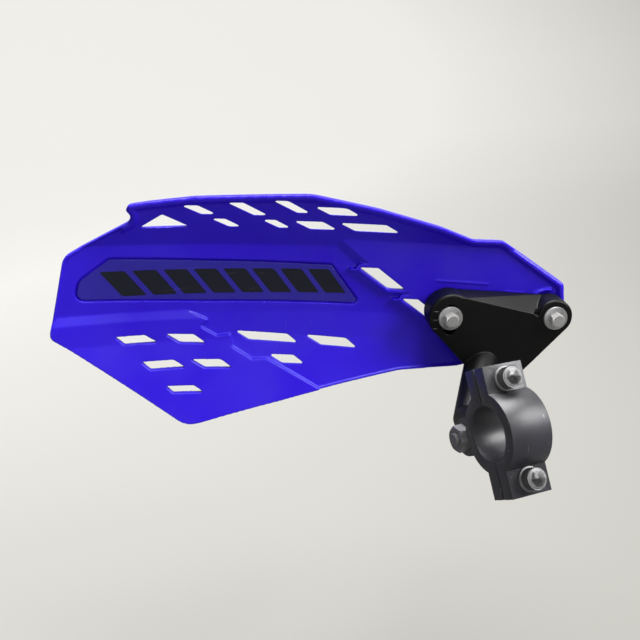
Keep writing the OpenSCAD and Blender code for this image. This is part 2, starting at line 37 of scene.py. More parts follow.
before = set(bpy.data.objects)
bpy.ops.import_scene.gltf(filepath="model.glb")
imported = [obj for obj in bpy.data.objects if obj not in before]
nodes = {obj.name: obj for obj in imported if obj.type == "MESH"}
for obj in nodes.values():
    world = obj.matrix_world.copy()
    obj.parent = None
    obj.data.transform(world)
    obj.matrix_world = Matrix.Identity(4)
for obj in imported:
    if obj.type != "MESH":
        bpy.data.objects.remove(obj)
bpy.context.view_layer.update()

# Frames repeated from the part's source, in metres and degrees
SEAT = (
    Matrix.Translation((0.054, 0.0868, 0.0142))
    @ Matrix.Rotation(math.radians(-18.9), 4, "Z")
    @ Matrix.Rotation(math.radians(1.9), 4, "Y")
)
SHIELD = SEAT @ Matrix.Rotation(math.radians(4), 4, "Y")
CLAMP = Matrix.Rotation(math.radians(60), 4, "X")

# Turns for the fasteners, which are made along Z: towards the rider, and end for end
TOWARD_RIDER = SEAT @ Matrix.Rotation(math.radians(90), 4, "X")
FLIP = Matrix.Rotation(math.pi, 4, "X")

# Shield and bracket, repeated from the part's source, in metres
BEND_R = 0.420
BEND_START = 0.020
PANEL_FACE = 0.0041
SHIELD_FRONT = 0.0045
BRACKET_T = 0.012
MARK_FROM = 0.0576
MARK_L = 0.0021

# The scale marks' setting and step, repeated from the part's source, in degrees
TILT_SET = 1
MARK_STEP = 4.2

# Shared by the fasteners, repeated from the part's source, in metres
SCREW_R = 0.0025
PAST_NUT = 0.001
BORE_GAP = 0.00005

# Shield fasteners, repeated from the part's source, in metres
SCREW_X = 0.02575
HEAD_H = 0.004
WASHER_T = 0.0012
NUT_AF = 0.008
NUT_H = 0.0045
NUT_FLANGE_R = 0.0056
NUT_FLANGE_T = 0.001
BUSH_WALL = 0.001

# Clamp fasteners, repeated from the part's source, in metres; a hexagon's R is to its corners
CLAMP_SCREW_Y = 0.0196
EAR_FACE = 0.0065
CLAMP_WASHER_R = 0.005
CLAMP_WASHER_T = 0.001
CAP_R = 0.00425
CAP_H = 0.005
KEY_R = 0.0023
KEY_DEPTH = 0.0025
CLAMP_NUT_R = 0.0046
CLAMP_NUT_H = 0.004
LUG_REACH = 0.026
LUG_FACE = 0.004
EYE_FACE = 0.012
ARM_BOLT_R = 0.003
ARM_HEX_R = 0.00576
ARM_HEAD_H = 0.0039
ARM_NUT_H = 0.0048
ARM_WASHER_R = 0.006
ARM_WASHER_T = 0.0015

# Details of the fasteners that only this script adds, in metres; the cone's slope is a ratio
POINT_L = 0.0006
THREAD_PROUD = 0.0002
SHANK_IN_HEAD = 0.0005
CLAMP_THREAD_FROM = 0.003
ARM_THREAD_FROM = 0.004
WASHER_SLIP = 0.00003
BUSH_EDGE = 0.0002
HEX_CHAMFER = 0.0004
HEX_CONE_SLOPE = 0.58
FLANGE_RIM_H = 0.0004
FLANGE_SLOPE_H = 0.0008
FLANGE_SLOPE_R = 0.0054
FLANGE_FLAT_R = 0.0045

# Panel, its bars and the painted highlight lines on the scale marks: metres, and the bars' slant as a
# ratio
PANEL_EDGE = 0.0002
BARS_LEFT = -0.1874
BARS_LOW = 0.0032
BARS_HIGH = 0.0148
BAR_GAP = 0.0030
BAR_SLANT = 0.842
BAR_CORNER = 0.0009
BAR_SUNK = 0.0002
BAR_PROUD = 0.00008
MARK_HIGHLIGHT_T = 0.0003

# Distance at which points are one, in metres, and the angles for shading, in degrees
MERGE = 1e-6
SMOOTH_ANGLE = 35
FACET_ANGLE = 12

# Shares of the softened meshes that are kept, and the bracket's own mesh size and softness
SHIELD_KEEP = 0.16
BRACKET_KEEP = 0.4
BRACKET_VOXEL = 0.00028
BRACKET_SOFTNESS = 4

# Colours of haze, dull plating and bare metal
HAZE = (0.16, 0.13, 0.60, 1)
DULL_ZINC = (0.30, 0.30, 0.32, 1)
BARE_METAL = (0.35, 0.35, 0.36, 1)

# Camera, backdrop and lamps, in metres, degrees, millimetres of lens and watts
CAMERA_PLACE = (-0.1977, -0.2570, 0.1607)
CAMERA_TURN = (70, 0, -24.5)
LENS_MM = 50.625
SENSOR_MM = 36
BACKDROP_LEFT = -2.5
BACKDROP_WIDE = 5
BACKDROP_CURVE = ((-1.6, 0), (1.1, 0), (1.35, 0.05), (1.52, 0.18), (1.6, 0.4), (1.6, 2.4))
SKY = (0.95, 0.97, 1, 1)
SKY_STRENGTH = 0.15
LAMPS = (
    {"name": "Key", "place": (0.58, -0.38, 0.56), "aim": (-0.03, 0.08, 0.02), "size": 0.45, "power": 10},
    {"name": "Top", "place": (0.08, 0.15, 0.80), "aim": (0.0, 0.1, 0.02), "size": 0.6, "power": 18},
    {"name": "Fill", "place": (-0.45, -0.75, -0.02), "aim": (-0.03, 0.1, 0.02), "size": 0.8, "power": 4},
)


# Property groups


class ShieldLook(bpy.types.PropertyGroup):
    colour: bpy.props.FloatVectorProperty(
        name="Shield colour", description="Colour of the moulded shield", subtype="COLOR",
        size=3, min=0, max=1, default=(0.022, 0.0035, 0.56))
    panel_colour: bpy.props.FloatVectorProperty(
        name="Panel colour", description="Colour of the inlaid panel", subtype="COLOR",
        size=3, min=0, max=1, default=(0.014, 0.007, 0.27))
    bar_colour: bpy.props.FloatVectorProperty(
        name="Bar colour", description="Colour of the slanted bars on the panel", subtype="COLOR",
        size=3, min=0, max=1, default=(0.002, 0.003, 0.010))
    bar_count: bpy.props.IntProperty(
        name="Bars", description="Number of slanted bars on the panel", min=0, max=8, default=8)
    bar_width: bpy.props.FloatProperty(
        name="Bar width", description="Width of one slanted bar", subtype="DISTANCE",
        unit="LENGTH", min=0.004, max=0.0102, default=0.0102)
    voxel: bpy.props.FloatProperty(
        name="Mesh size", description="Mesh size of the softened moulding", subtype="DISTANCE",
        unit="LENGTH", min=0.0003, max=0.002, default=0.00031)
    softness: bpy.props.IntProperty(
        name="Softness", description="Rounds of smoothing that soften the moulded edges",
        min=0, max=20, default=11)


class BracketLook(bpy.types.PropertyGroup):
    colour: bpy.props.FloatVectorProperty(
        name="Bracket colour", description="Colour of the black moulded bracket", subtype="COLOR",
        size=3, min=0, max=1, default=(0.0013, 0.0013, 0.0013))
    mark_highlight_colour: bpy.props.FloatVectorProperty(
        name="Mark highlight colour", description="Colour of the painted highlight lines on the scale marks", subtype="COLOR",
        size=3, min=0, max=1, default=(0.10, 0.10, 0.10))
    mark_highlight_width: bpy.props.FloatProperty(
        name="Mark highlight width", description="Width of the painted highlight lines on the scale marks",
        subtype="DISTANCE", unit="LENGTH", min=0.0001, max=0.0006, default=0.0003)
    clamp_colour: bpy.props.FloatVectorProperty(
        name="Clamp colour", description="Colour of the bar clamp's coat", subtype="COLOR",
        size=3, min=0, max=1, default=(0.03, 0.03, 0.032))
    edge: bpy.props.FloatProperty(
        name="Clamp edge", description="Width of the rounding on the clamp's edges",
        subtype="DISTANCE", unit="LENGTH", min=0.0001, max=0.001, default=0.0005)


class HardwareLook(bpy.types.PropertyGroup):
    colour: bpy.props.FloatVectorProperty(
        name="Plating colour", description="Colour of the plated steel", subtype="COLOR",
        size=3, min=0, max=1, default=(0.56, 0.55, 0.54))
    head_af: bpy.props.FloatProperty(
        name="Head across flats", description="Width across the flats of a shield screw's head",
        subtype="DISTANCE", unit="LENGTH", min=0.005, max=0.01, default=0.006)
    washer_d: bpy.props.FloatProperty(
        name="Washer diameter", description="Outside diameter of a shield washer",
        subtype="DISTANCE", unit="LENGTH", min=0.008, max=0.014, default=0.0116)


class StageLook(bpy.types.PropertyGroup):
    wall_colour: bpy.props.FloatVectorProperty(
        name="Wall colour", description="Colour of the floor and backdrop", subtype="COLOR",
        size=3, min=0, max=1, default=(0.12, 0.12, 0.115))
    wall_glow: bpy.props.FloatVectorProperty(
        name="Wall glow", description="What the camera sees added to the far upper left wall",
        subtype="COLOR", size=3, min=0, max=1, default=(0.79, 0.78, 0.745))
    floor_glow: bpy.props.FloatVectorProperty(
        name="Floor glow", description="What the camera sees added to the near right floor",
        subtype="COLOR", size=3, min=0, max=1, default=(0.10, 0.09, 0.06))
    floor_drop: bpy.props.FloatProperty(
        name="Floor drop", description="Depth of the floor below the bar", subtype="DISTANCE",
        unit="LENGTH", min=0.05, max=0.4, default=0.16)


# Shader node groups


def group(name, inputs, outputs):
    """An empty shader group with named sockets: (name, kind, default)."""
    tree = bpy.data.node_groups.new(name, "ShaderNodeTree")
    for label, kind, value in inputs:
        socket = tree.interface.new_socket(name=label, in_out="INPUT", socket_type=kind)
        if value is not None:
            socket.default_value = value
    for label, kind in outputs:
        tree.interface.new_socket(name=label, in_out="OUTPUT", socket_type=kind)
    return tree, tree.nodes.new("NodeGroupInput"), tree.nodes.new("NodeGroupOutput")


def noise(tree, vector, scale, detail=2.0, rough=0.5):
    """Cloud noise round 0.5, scale times to the metre."""
    node = tree.nodes.new("ShaderNodeTexNoise")
    node.inputs["Scale"].default_value = scale
    node.inputs["Detail"].default_value = detail
    node.inputs["Roughness"].default_value = rough
    tree.links.new(vector, node.inputs["Vector"])
    return node.outputs["Fac"]


def ramp(tree, value, low, high):
    """A mask that rises from 0 at low to 1 at high."""
    node = tree.nodes.new("ShaderNodeMapRange")
    node.inputs["From Min"].default_value = low
    node.inputs["From Max"].default_value = high
    tree.links.new(value, node.inputs["Value"])
    return node.outputs["Result"]


def feed(tree, socket, value):
    """Links a socket to another one's output, or sets it to a number or colour."""
    if isinstance(value, (int, float, tuple)):
        socket.default_value = value
    else:
        tree.links.new(value, socket)


def maths(tree, kind, a, b):
    """The sum, product or other result of two values."""
    node = tree.nodes.new("ShaderNodeMath")
    node.operation = kind
    feed(tree, node.inputs[0], a)
    feed(tree, node.inputs[1], b)
    return node.outputs[0]


def mix_colour(tree, factor, a, b):
    """Colour a where the factor is 0, and b where it is 1."""
    node = tree.nodes.new("ShaderNodeMix")
    node.data_type = "RGBA"
    feed(tree, node.inputs[0], factor)
    feed(tree, node.inputs[6], a)
    feed(tree, node.inputs[7], b)
    return node.outputs[2]


def uneven(tree, value, mask, middle, swing):
    """A value raised where the mask is over its middle, and lowered where it is under it."""
    change = maths(tree, "MULTIPLY", maths(tree, "SUBTRACT", mask, middle), swing)
    return maths(tree, "ADD", value, change)


def moulded_grain():
    """Fine spark-eroded grain, flow marks and handling haze of an injection moulding."""
    tree, given, made = group("Moulded grain", [
        ("Vector", "NodeSocketVector", None), ("Colour", "NodeSocketColor", (0.5, 0.5, 0.5, 1)),
        ("Roughness", "NodeSocketFloat", 0.4), ("Haze", "NodeSocketFloat", 0.1),
        ("Grain", "NodeSocketFloat", 0.3),
    ], [("Colour", "NodeSocketColor"), ("Roughness", "NodeSocketFloat"), ("Height", "NodeSocketFloat")])
    at = given.outputs["Vector"]
    cloudy = ramp(tree, noise(tree, at, scale=28, detail=4, rough=0.6), 0.35, 0.7)
    flow = ramp(tree, noise(tree, at, scale=9), 0.3, 0.7)
    grain = noise(tree, at, scale=2600)
    pale = maths(tree, "MULTIPLY", maths(tree, "MULTIPLY", cloudy, flow), given.outputs["Haze"])
    hazed = mix_colour(tree, pale, given.outputs["Colour"], HAZE)
    tree.links.new(hazed, made.inputs["Colour"])
    rough = uneven(tree, given.outputs["Roughness"], cloudy, middle=0.5, swing=0.16)
    tree.links.new(rough, made.inputs["Roughness"])
    tree.links.new(maths(tree, "MULTIPLY", grain, given.outputs["Grain"]), made.inputs["Height"])
    return tree


def scuffs():
    """Sparse hairline scratches: a mask that is 1 in a scratch."""
    tree, given, made = group("Scuffs", [
        ("Vector", "NodeSocketVector", None), ("Amount", "NodeSocketFloat", 0.5),
    ], [("Mask", "NodeSocketFloat")])
    lines = []
    for turn, stretch in ((25, (14, 900, 900)), (-50, (900, 900, 18))):
        drawn = tree.nodes.new("ShaderNodeMapping")
        drawn.inputs["Rotation"].default_value = (0, math.radians(turn), math.radians(turn / 3))
        drawn.inputs["Scale"].default_value = stretch
        tree.links.new(given.outputs["Vector"], drawn.inputs["Vector"])
        lines.append(ramp(tree, noise(tree, drawn.outputs["Vector"], scale=1.0, detail=1), 0.72, 0.78))
    both = maths(tree, "MAXIMUM", *lines)
    patch = ramp(tree, noise(tree, given.outputs["Vector"], scale=22), 0.5, 0.7)
    mask = maths(tree, "MULTIPLY", maths(tree, "MULTIPLY", both, patch), given.outputs["Amount"])
    tree.links.new(mask, made.inputs["Mask"])
    return tree


def plating():
    """Zinc plating: cloudy colour, uneven gloss and fine turning marks."""
    tree, given, made = group("Plating", [
        ("Vector", "NodeSocketVector", None), ("Colour", "NodeSocketColor", (0.5, 0.5, 0.5, 1)),
        ("Roughness", "NodeSocketFloat", 0.35),
    ], [("Colour", "NodeSocketColor"), ("Roughness", "NodeSocketFloat"), ("Height", "NodeSocketFloat")])
    at = given.outputs["Vector"]
    cloudy = ramp(tree, noise(tree, at, scale=420, detail=4, rough=0.65), 0.35, 0.7)
    dull = mix_colour(tree, maths(tree, "MULTIPLY", cloudy, 0.45), given.outputs["Colour"], DULL_ZINC)
    tree.links.new(dull, made.inputs["Colour"])
    rough = uneven(tree, given.outputs["Roughness"], cloudy, middle=0.4, swing=0.25)
    tree.links.new(rough, made.inputs["Roughness"])
    tree.links.new(noise(tree, at, scale=5200), made.inputs["Height"])
    return tree


def placed(tree, name, make, **values):
    """The shared group of that name, built once, read at the object's own coordinates."""
    at = tree.nodes.new("ShaderNodeTexCoord")
    node = tree.nodes.new("ShaderNodeGroup")
    node.node_tree = bpy.data.node_groups.get(name) or make()
    tree.links.new(at.outputs["Object"], node.inputs["Vector"])
    for label, value in values.items():
        node.inputs[label].default_value = (*value, 1) if isinstance(value, tuple) else value
    return node


def bump(tree, height, shader, distance, strength):
    """Turns a height into the shader's normal."""
    node = tree.nodes.new("ShaderNodeBump")
    node.inputs["Distance"].default_value = distance
    node.inputs["Strength"].default_value = strength
    tree.links.new(height, node.inputs["Height"])
    tree.links.new(node.outputs["Normal"], shader.inputs["Normal"])


# Finishes


def new_material(name, rgb):
    """An empty finish with its node tree and shader."""
    material = bpy.data.materials.new(name)
    material.use_nodes = True
    material.diffuse_color = (*rgb, 1)
    return material, material.node_tree, material.node_tree.nodes["Principled BSDF"]


def moulding(name, rgb, roughness, haze, grain, scratched, coat, gloss):
    """A moulded plastic with grain, haze and hairline scratches."""
    material, tree, shader = new_material(name, rgb)
    skin = placed(tree, "Moulded grain", moulded_grain, Colour=rgb, Roughness=roughness, Haze=haze,
                  Grain=grain)
    scratches = placed(tree, "Scuffs", scuffs, Amount=scratched).outputs["Mask"]
    pale = tuple(min(1.0, c * 0.8 + 0.10) for c in rgb)
    colour = mix_colour(tree, scratches, skin.outputs["Colour"], (*pale, 1))
    tree.links.new(colour, shader.inputs["Base Color"])
    tree.links.new(skin.outputs["Roughness"], shader.inputs["Roughness"])
    height = maths(tree, "SUBTRACT", skin.outputs["Height"], scratches)
    bump(tree, height, shader, distance=0.00006, strength=0.5)
    shader.inputs["Specular IOR Level"].default_value = gloss
    shader.inputs["Coat Weight"].default_value = coat
    shader.inputs["Coat Roughness"].default_value = 0.2
    return material


def plated(name, rgb, roughness):
    """Zinc-plated steel."""
    material, tree, shader = new_material(name, rgb)
    skin = placed(tree, "Plating", plating, Colour=rgb, Roughness=roughness)
    tree.links.new(skin.outputs["Colour"], shader.inputs["Base Color"])
    tree.links.new(skin.outputs["Roughness"], shader.inputs["Roughness"])
    shader.inputs["Metallic"].default_value = 0.7
    bump(tree, skin.outputs["Height"], shader, distance=0.00002, strength=0.4)
    return material


def coated(name, rgb, roughness):
    """Satin coat on cast aluminium, with scratches through to the metal."""
    material, tree, shader = new_material(name, rgb)
    skin = placed(tree, "Moulded grain", moulded_grain, Colour=rgb, Roughness=roughness, Haze=0.02,
                  Grain=0.8)
    scratches = placed(tree, "Scuffs", scuffs, Amount=0.7).outputs["Mask"]
    colour = mix_colour(tree, scratches, skin.outputs["Colour"], BARE_METAL)
    tree.links.new(colour, shader.inputs["Base Color"])
    tree.links.new(skin.outputs["Roughness"], shader.inputs["Roughness"])
    tree.links.new(scratches, shader.inputs["Metallic"])
    bump(tree, skin.outputs["Height"], shader, distance=0.00008, strength=0.5)
    return material


def studio_paper(look):
    """Dull paper that seems pale to the camera and in gloss, fading to the near right."""
    material, tree, shader = new_material("Studio paper", tuple(look.wall_colour))
    shader.inputs["Base Color"].default_value = (*look.wall_colour, 1)
    shader.inputs["Roughness"].default_value = 0.9
    shader.inputs["Specular IOR Level"].default_value = 0.1
    at = tree.nodes.new("ShaderNodeTexCoord").outputs["Object"]
    slope = tree.nodes.new("ShaderNodeVectorMath")
    slope.operation = "DOT_PRODUCT"
    slope.inputs[1].default_value = (0.4, -0.7, 0.6)
    tree.links.new(at, slope.inputs[0])
    near_right = ramp(tree, slope.outputs["Value"], -0.7, 0.2)
    glow = mix_colour(tree, near_right, (*look.wall_glow, 1), (*look.floor_glow, 1))
    height = tree.nodes.new("ShaderNodeSeparateXYZ")
    tree.links.new(at, height.inputs["Vector"])
    wall = ramp(tree, height.outputs["Z"], -0.12, 0.1)
    path = tree.nodes.new("ShaderNodeLightPath")
    mirrored = maths(tree, "MULTIPLY", path.outputs["Is Glossy Ray"], wall)
    seen = mix_colour(tree, path.outputs["Is Camera Ray"], (0, 0, 0, 1), glow)
    in_gloss = tuple(0.75 * c for c in look.wall_glow)
    tree.links.new(mix_colour(tree, mirrored, seen, (*in_gloss, 1)), shader.inputs["Emission Color"])
    shader.inputs["Emission Strength"].default_value = 1.0
    return material


def finish_of(name, make, rgb, **values):
    """The finish of that name, built once."""
    return bpy.data.materials.get(name) or make(name, tuple(rgb), **values)


def steel(name, roughness, shade=1.0):
    """Plated steel, in a share of the plating's colour; a share under one is painted shade."""
    plate = bpy.context.scene.hardware_look.colour
    return finish_of(name, plated, [shade * c for c in plate], roughness=roughness)


# Mesh helpers


def sharp_edges(bm, angle):
    """The edges at which two faces meet at more than an angle in degrees."""
    return [e for e in bm.edges
            if len(e.link_faces) == 2 and e.calc_face_angle(0) > math.radians(angle)]


def new_object(name, bm, material, smooth_angle=SMOOTH_ANGLE):
    """Makes an object of a bmesh, shaded smooth across edges up to an angle in degrees."""
    bmesh.ops.recalc_face_normals(bm, faces=bm.faces)
    for face in bm.faces:
        face.smooth = True
    for edge in sharp_edges(bm, smooth_angle):
        edge.smooth = False
    mesh = bpy.data.meshes.new(name)
    bm.to_mesh(mesh)
    bm.free()
    mesh.materials.append(material)
    made = bpy.data.objects.new(name, mesh)
    bpy.context.scene.collection.objects.link(made)
    return made


def add_piece(name, bm, body, material, replaced=(), turn=None,
              smooth_angle=SMOOTH_ANGLE):
    """Adds a piece that a body carries, and hides the nodes that it stands for."""
    if turn is not None:
        bmesh.ops.transform(bm, matrix=turn, verts=bm.verts)
    piece = new_object(name, bm, material, smooth_angle)
    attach(piece, body)
    if replaced:
        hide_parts(*replaced)
    return piece


def add_fastener(name, bm, body, metal, node, turn, smooth_angle=SMOOTH_ANGLE):
    """Adds a steel piece that stands for a CAD node."""
    add_piece(name, bm, body, metal, (node,), turn, smooth_angle)


def node_copy(node):
    """A bmesh copy of a CAD node, its loose triangles merged."""
    bm = bmesh.new()
    bm.from_mesh(nodes[node].data)
    bmesh.ops.remove_doubles(bm, verts=bm.verts, dist=MERGE)
    return bm


def rounded_copy(node, width, angle, segments):
    """A copy of a CAD node with whole flat faces, its edges sharper than an angle rounded."""
    bm = node_copy(node)
    bmesh.ops.dissolve_limit(bm, angle_limit=math.radians(1), verts=bm.verts, edges=bm.edges,
                             delimit={"NORMAL"})
    bmesh.ops.bevel(bm, geom=sharp_edges(bm, angle), offset=width, offset_type="OFFSET",
                    segments=segments, profile=0.5, affect="EDGES", material=-1, clamp_overlap=True)
    return bm


def soft_moulding(name, node, body, material, voxel, rounds, keep):
    """A moulding copied from its CAD node, with every edge and inner corner softened."""
    piece = add_piece(name, node_copy(node), body, material, (node,))
    bpy.context.view_layer.objects.active = piece
    remesh = piece.modifiers.new("Remesh", "REMESH")
    remesh.mode = "VOXEL"
    remesh.voxel_size = voxel
    soften = piece.modifiers.new("Soften", "SMOOTH")
    soften.factor = 0.5
    soften.iterations = rounds
    thin = piece.modifiers.new("Thin", "DECIMATE")
    thin.ratio = keep
    for modifier in (remesh, soften, thin):
        bpy.ops.object.modifier_apply(modifier=modifier.name)
    for polygon in piece.data.polygons:
        polygon.use_smooth = True
    return piece


def join(bm, other):
    """Adds another bmesh to this one."""
    mesh = bpy.data.meshes.new("joined")
    other.to_mesh(mesh)
    other.free()
    bm.from_mesh(mesh)
    bpy.data.meshes.remove(mesh)


def new_parts(made, kind):
    """The vertices or faces among what an operator made."""
    return [part for part in made["geom"] if isinstance(part, kind)]


def lathe(bm, outline, steps=48):
    """Spins a closed (radius, height) outline about Z."""
    verts = [bm.verts.new((r, 0, z)) for r, z in outline]
    edges = [bm.edges.new((verts[k], verts[(k + 1) % len(verts)])) for k in range(len(verts))]
    bmesh.ops.spin(bm, geom=verts + edges, cent=(0, 0, 0), axis=(0, 0, 1), dvec=(0, 0, 0),
                   angle=math.tau, steps=steps, use_merge=True)


def washer(bm, inner_r, outer_r, low, high):
    """A punched washer: rounded on the upper rim, sharp below."""
    edge = (high - low) * 0.3
    lathe(bm, [(inner_r, low), (inner_r, high - edge / 2), (inner_r + edge / 2, high),
               (outer_r - edge, high), (outer_r - edge * 0.3, high - edge * 0.3),
               (outer_r, high - edge), (outer_r, low)])


def thread(bm, r, low, high, pitch=0.0008, steps_in_turn=24):
    """A helical ridge round a shank, from low to high."""
    turns = (high - low) / pitch
    steps = max(8, round(turns * steps_in_turn))
    root = r - pitch * 0.45
    half = pitch * 0.42
    ridge = bm.faces.new([bm.verts.new((x, 0, z))
                          for x, z in ((root, low - half), (r, low), (root, low + half))])
    bmesh.ops.spin(bm, geom=[ridge], cent=(0, 0, 0), axis=(0, 0, 1),
                   dvec=(0, 0, (high - low) / steps), angle=math.tau * turns, steps=steps)


def shank(bm, r, low, high):
    """A round bar with a bevelled upper end."""
    made = bmesh.ops.create_cone(bm, cap_ends=True, segments=40, radius1=r, radius2=r,
                                 depth=high - low, matrix=Matrix.Translation((0, 0, (low + high) / 2)))
    tip = {e for v in made["verts"] for e in v.link_edges
           if all(abs(w.co.z - high) < MERGE for w in e.verts)}
    bmesh.ops.bevel(bm, geom=list(tip), offset=r * 0.2, offset_type="OFFSET", segments=1,
                    profile=0.5, affect="EDGES", material=-1)


def add_shank(bm, r, seat, thread_start, end):
    """Gives a head that sits at a height a shank; its thread and end are measured downwards."""
    core = bmesh.new()
    shank(core, r - THREAD_PROUD, -seat - SHANK_IN_HEAD, end)
    thread(core, r, thread_start, end - POINT_L)
    bmesh.ops.transform(core, matrix=FLIP, verts=core.verts)
    join(bm, core)


def hex_prism(bm, af, low, high, cuts=7):
    """A hexagon, given across its flats, whose upper corners are turned off to a cone."""
    corner_r = af / math.sqrt(3)
    top_r = af / 2 - HEX_CHAMFER
    made = bmesh.ops.create_circle(bm, cap_ends=True, segments=6, radius=corner_r,
                                   matrix=Matrix.Translation((0, 0, low)))
    base = made["verts"][0].link_faces[0]
    bmesh.ops.subdivide_edges(bm, edges=list(base.edges), cuts=cuts)
    base = next(f for f in bm.faces if len(f.verts) == 6 * (cuts + 1))
    up = bmesh.ops.extrude_face_region(bm, geom=[base])
    for v in new_parts(up, bmesh.types.BMVert):
        v.co.z = high - max(0.0, v.co.xy.length - af / 2 + HEX_CHAMFER / 2) * HEX_CONE_SLOPE
    top = new_parts(up, bmesh.types.BMFace)[0]
    bmesh.ops.inset_region(bm, faces=[top], thickness=corner_r - top_r, depth=0)
    for v in top.verts:
        v.co = (v.co.xy.normalized() * top_r).to_3d() + Vector((0, 0, high))


def raised(bm, face, height, shrink=0.0):
    """Extrudes a round face along Z and draws its new rim in; gives the new face."""
    top = new_parts(bmesh.ops.extrude_face_region(bm, geom=[face]), bmesh.types.BMFace)[0]
    for v in top.verts:
        v.co = Vector((v.co.x, v.co.y, 0)) * (1 - shrink / v.co.xy.length) + Vector(
            (0, 0, v.co.z + height))
    return top


def cap_head(bm, r, low, high, key_r, key_depth):
    """A knurled round head with a hexagon socket."""
    edge = (high - low) * 0.12
    made = bmesh.ops.create_circle(bm, cap_ends=True, segments=72, radius=r,
                                   matrix=Matrix.Translation((0, 0, low)))
    wall_top = raised(bm, made["verts"][0].link_faces[0], high - low - edge)
    side = [f for f in bm.faces if len(f.verts) == 4]
    top = raised(bm, wall_top, edge, edge)
    bmesh.ops.inset_region(bm, faces=[top], thickness=r * 0.2, depth=0)
    for v in top.verts:
        angle = math.atan2(v.co.y, v.co.x) % math.radians(60) - math.radians(30)
        v.co.xy = v.co.xy.normalized() * key_r * math.cos(math.radians(30)) / math.cos(angle)
    raised(bm, top, -key_depth, 0.0001)
    bmesh.ops.inset_individual(bm, faces=side, thickness=r * 0.02, depth=-r * 0.03)


def slanted_bar(bm, left, width):
    """A thin printed bar with round corners that follows the panel round the shield's bend."""
    made = bmesh.ops.create_grid(bm, x_segments=10, y_segments=4, size=0.5)["verts"]
    for v in made:
        z = BARS_LOW + (v.co.y + 0.5) * (BARS_HIGH - BARS_LOW)
        v.co = Vector((left + (v.co.x + 0.5) * width + (BARS_HIGH - z) * BAR_SLANT, 0, z))
    corners = [v for v in made if len(v.link_faces) == 1]
    bmesh.ops.bevel(bm, geom=corners, offset=BAR_CORNER, offset_type="OFFSET", segments=3,
                    profile=0.5, affect="VERTICES", material=-1)
    faces = [f for f in bm.faces if all(abs(v.co.y) < 1e-9 for v in f.verts)]
    thick = bmesh.ops.extrude_face_region(bm, geom=faces)
    back = set(new_parts(thick, bmesh.types.BMVert))
    front = {v for f in faces if f.is_valid for v in f.verts}
    bmesh.ops.translate(bm, vec=(0, BAR_SUNK, 0), verts=list(back))
    bmesh.ops.translate(bm, vec=(0, -BAR_PROUD, 0), verts=list(front))
    for v in back | front:
        reach = min(0.0, v.co.x + BEND_START)
        radius = BEND_R + PANEL_FACE + v.co.y
        v.co.y = math.sqrt(radius * radius - reach * reach) - BEND_R


# Operators


class HANDGUARD_OT_shield(bpy.types.Operator):
    """Softens the moulded shield and gives it its plastic"""
    bl_idname = "handguard.shield"
    bl_label = "Shield"

    def execute(self, context):
        look = context.scene.shield_look
        plastic = finish_of("Blue moulding", moulding, look.colour, roughness=0.38, haze=0.06,
                            grain=0.6, scratched=0.35, coat=0.05, gloss=0.28)
        soft_moulding("soft_shield", "shield", "guard", plastic,
                      look.voxel, look.softness, SHIELD_KEEP)
        return {"FINISHED"}


class HANDGUARD_OT_panel(bpy.types.Operator):
    """Finishes the inlaid panel and lays a row of slanted bars on it"""
    bl_idname = "handguard.panel"
    bl_label = "Panel"

    def execute(self, context):
        look = context.scene.shield_look
        film = finish_of("Panel film", moulding, look.panel_colour, roughness=0.5, haze=0.05,
                         grain=0.8, scratched=0.25, coat=0.0, gloss=0.4)
        bm = rounded_copy("graphic_panel", PANEL_EDGE, 40, 1)
        add_piece("inlaid_panel", bm, "guard", film, ("graphic_panel",))
        ink = finish_of("Dark print", moulding, look.bar_colour, roughness=0.62, haze=0.0,
                        grain=1.0, scratched=0.3, coat=0.0, gloss=0.3)
        bm = bmesh.new()
        for k in range(look.bar_count):
            slanted_bar(bm, BARS_LEFT + k * (look.bar_width + BAR_GAP), look.bar_width)
        add_piece("panel_bars", bm, "guard", ink, (), SHIELD)
        return {"FINISHED"}


class HANDGUARD_OT_bracket(bpy.types.Operator):
    """Softens the black bracket, gives it its plastic and lays painted highlight lines on its scale
    marks
    """
    bl_idname = "handguard.bracket"
    bl_label = "Bracket"

    def execute(self, context):
        look = context.scene.bracket_look
        plastic = finish_of("Black moulding", moulding, look.colour, roughness=0.46, haze=0.0,
                            grain=1.0, scratched=0.25, coat=0.0, gloss=0.2)
        soft_moulding("soft_bracket", "bracket", "mount", plastic,
                      BRACKET_VOXEL, BRACKET_SOFTNESS, BRACKET_KEEP)
        # The pale lines are painted highlights, standing for the light that the moulded scale ridges
        # catch
        pale = finish_of("Painted mark highlights", moulding, look.mark_highlight_colour, roughness=0.5, haze=0.0,
                         grain=0.5, scratched=0.2, coat=0.0, gloss=0.3)
        bm = bmesh.new()
        pivot = Matrix.Translation((SCREW_X, -BRACKET_T, 0))
        place = Matrix.Translation((MARK_FROM + MARK_L / 2, 0, 0))
        size = Matrix.Diagonal((MARK_L, MARK_HIGHLIGHT_T, look.mark_highlight_width, 1))
        for k in (-1, 0, 1):
            turn = Matrix.Rotation(math.radians(180 - TILT_SET + k * MARK_STEP), 4, "Y")
            bmesh.ops.create_cube(bm, size=1, matrix=pivot @ turn @ place @ size)
        add_piece("scale_mark_highlights", bm, "mount", pale, (), SEAT)
        return {"FINISHED"}


class HANDGUARD_OT_clamp(bpy.types.Operator):
    """Rounds the edges of the bar clamp's two halves and coats them"""
    bl_idname = "handguard.clamp"
    bl_label = "Bar clamp"

    def execute(self, context):
        look = context.scene.bracket_look
        coat = finish_of("Clamp coat", coated, look.clamp_colour, roughness=0.4)
        for node in ("clamp_body", "clamp_cap"):
            bm = rounded_copy(node, look.edge, 30, 2)
            add_piece("coated_" + node, bm, "mount", coat, (node,))
        return {"FINISHED"}


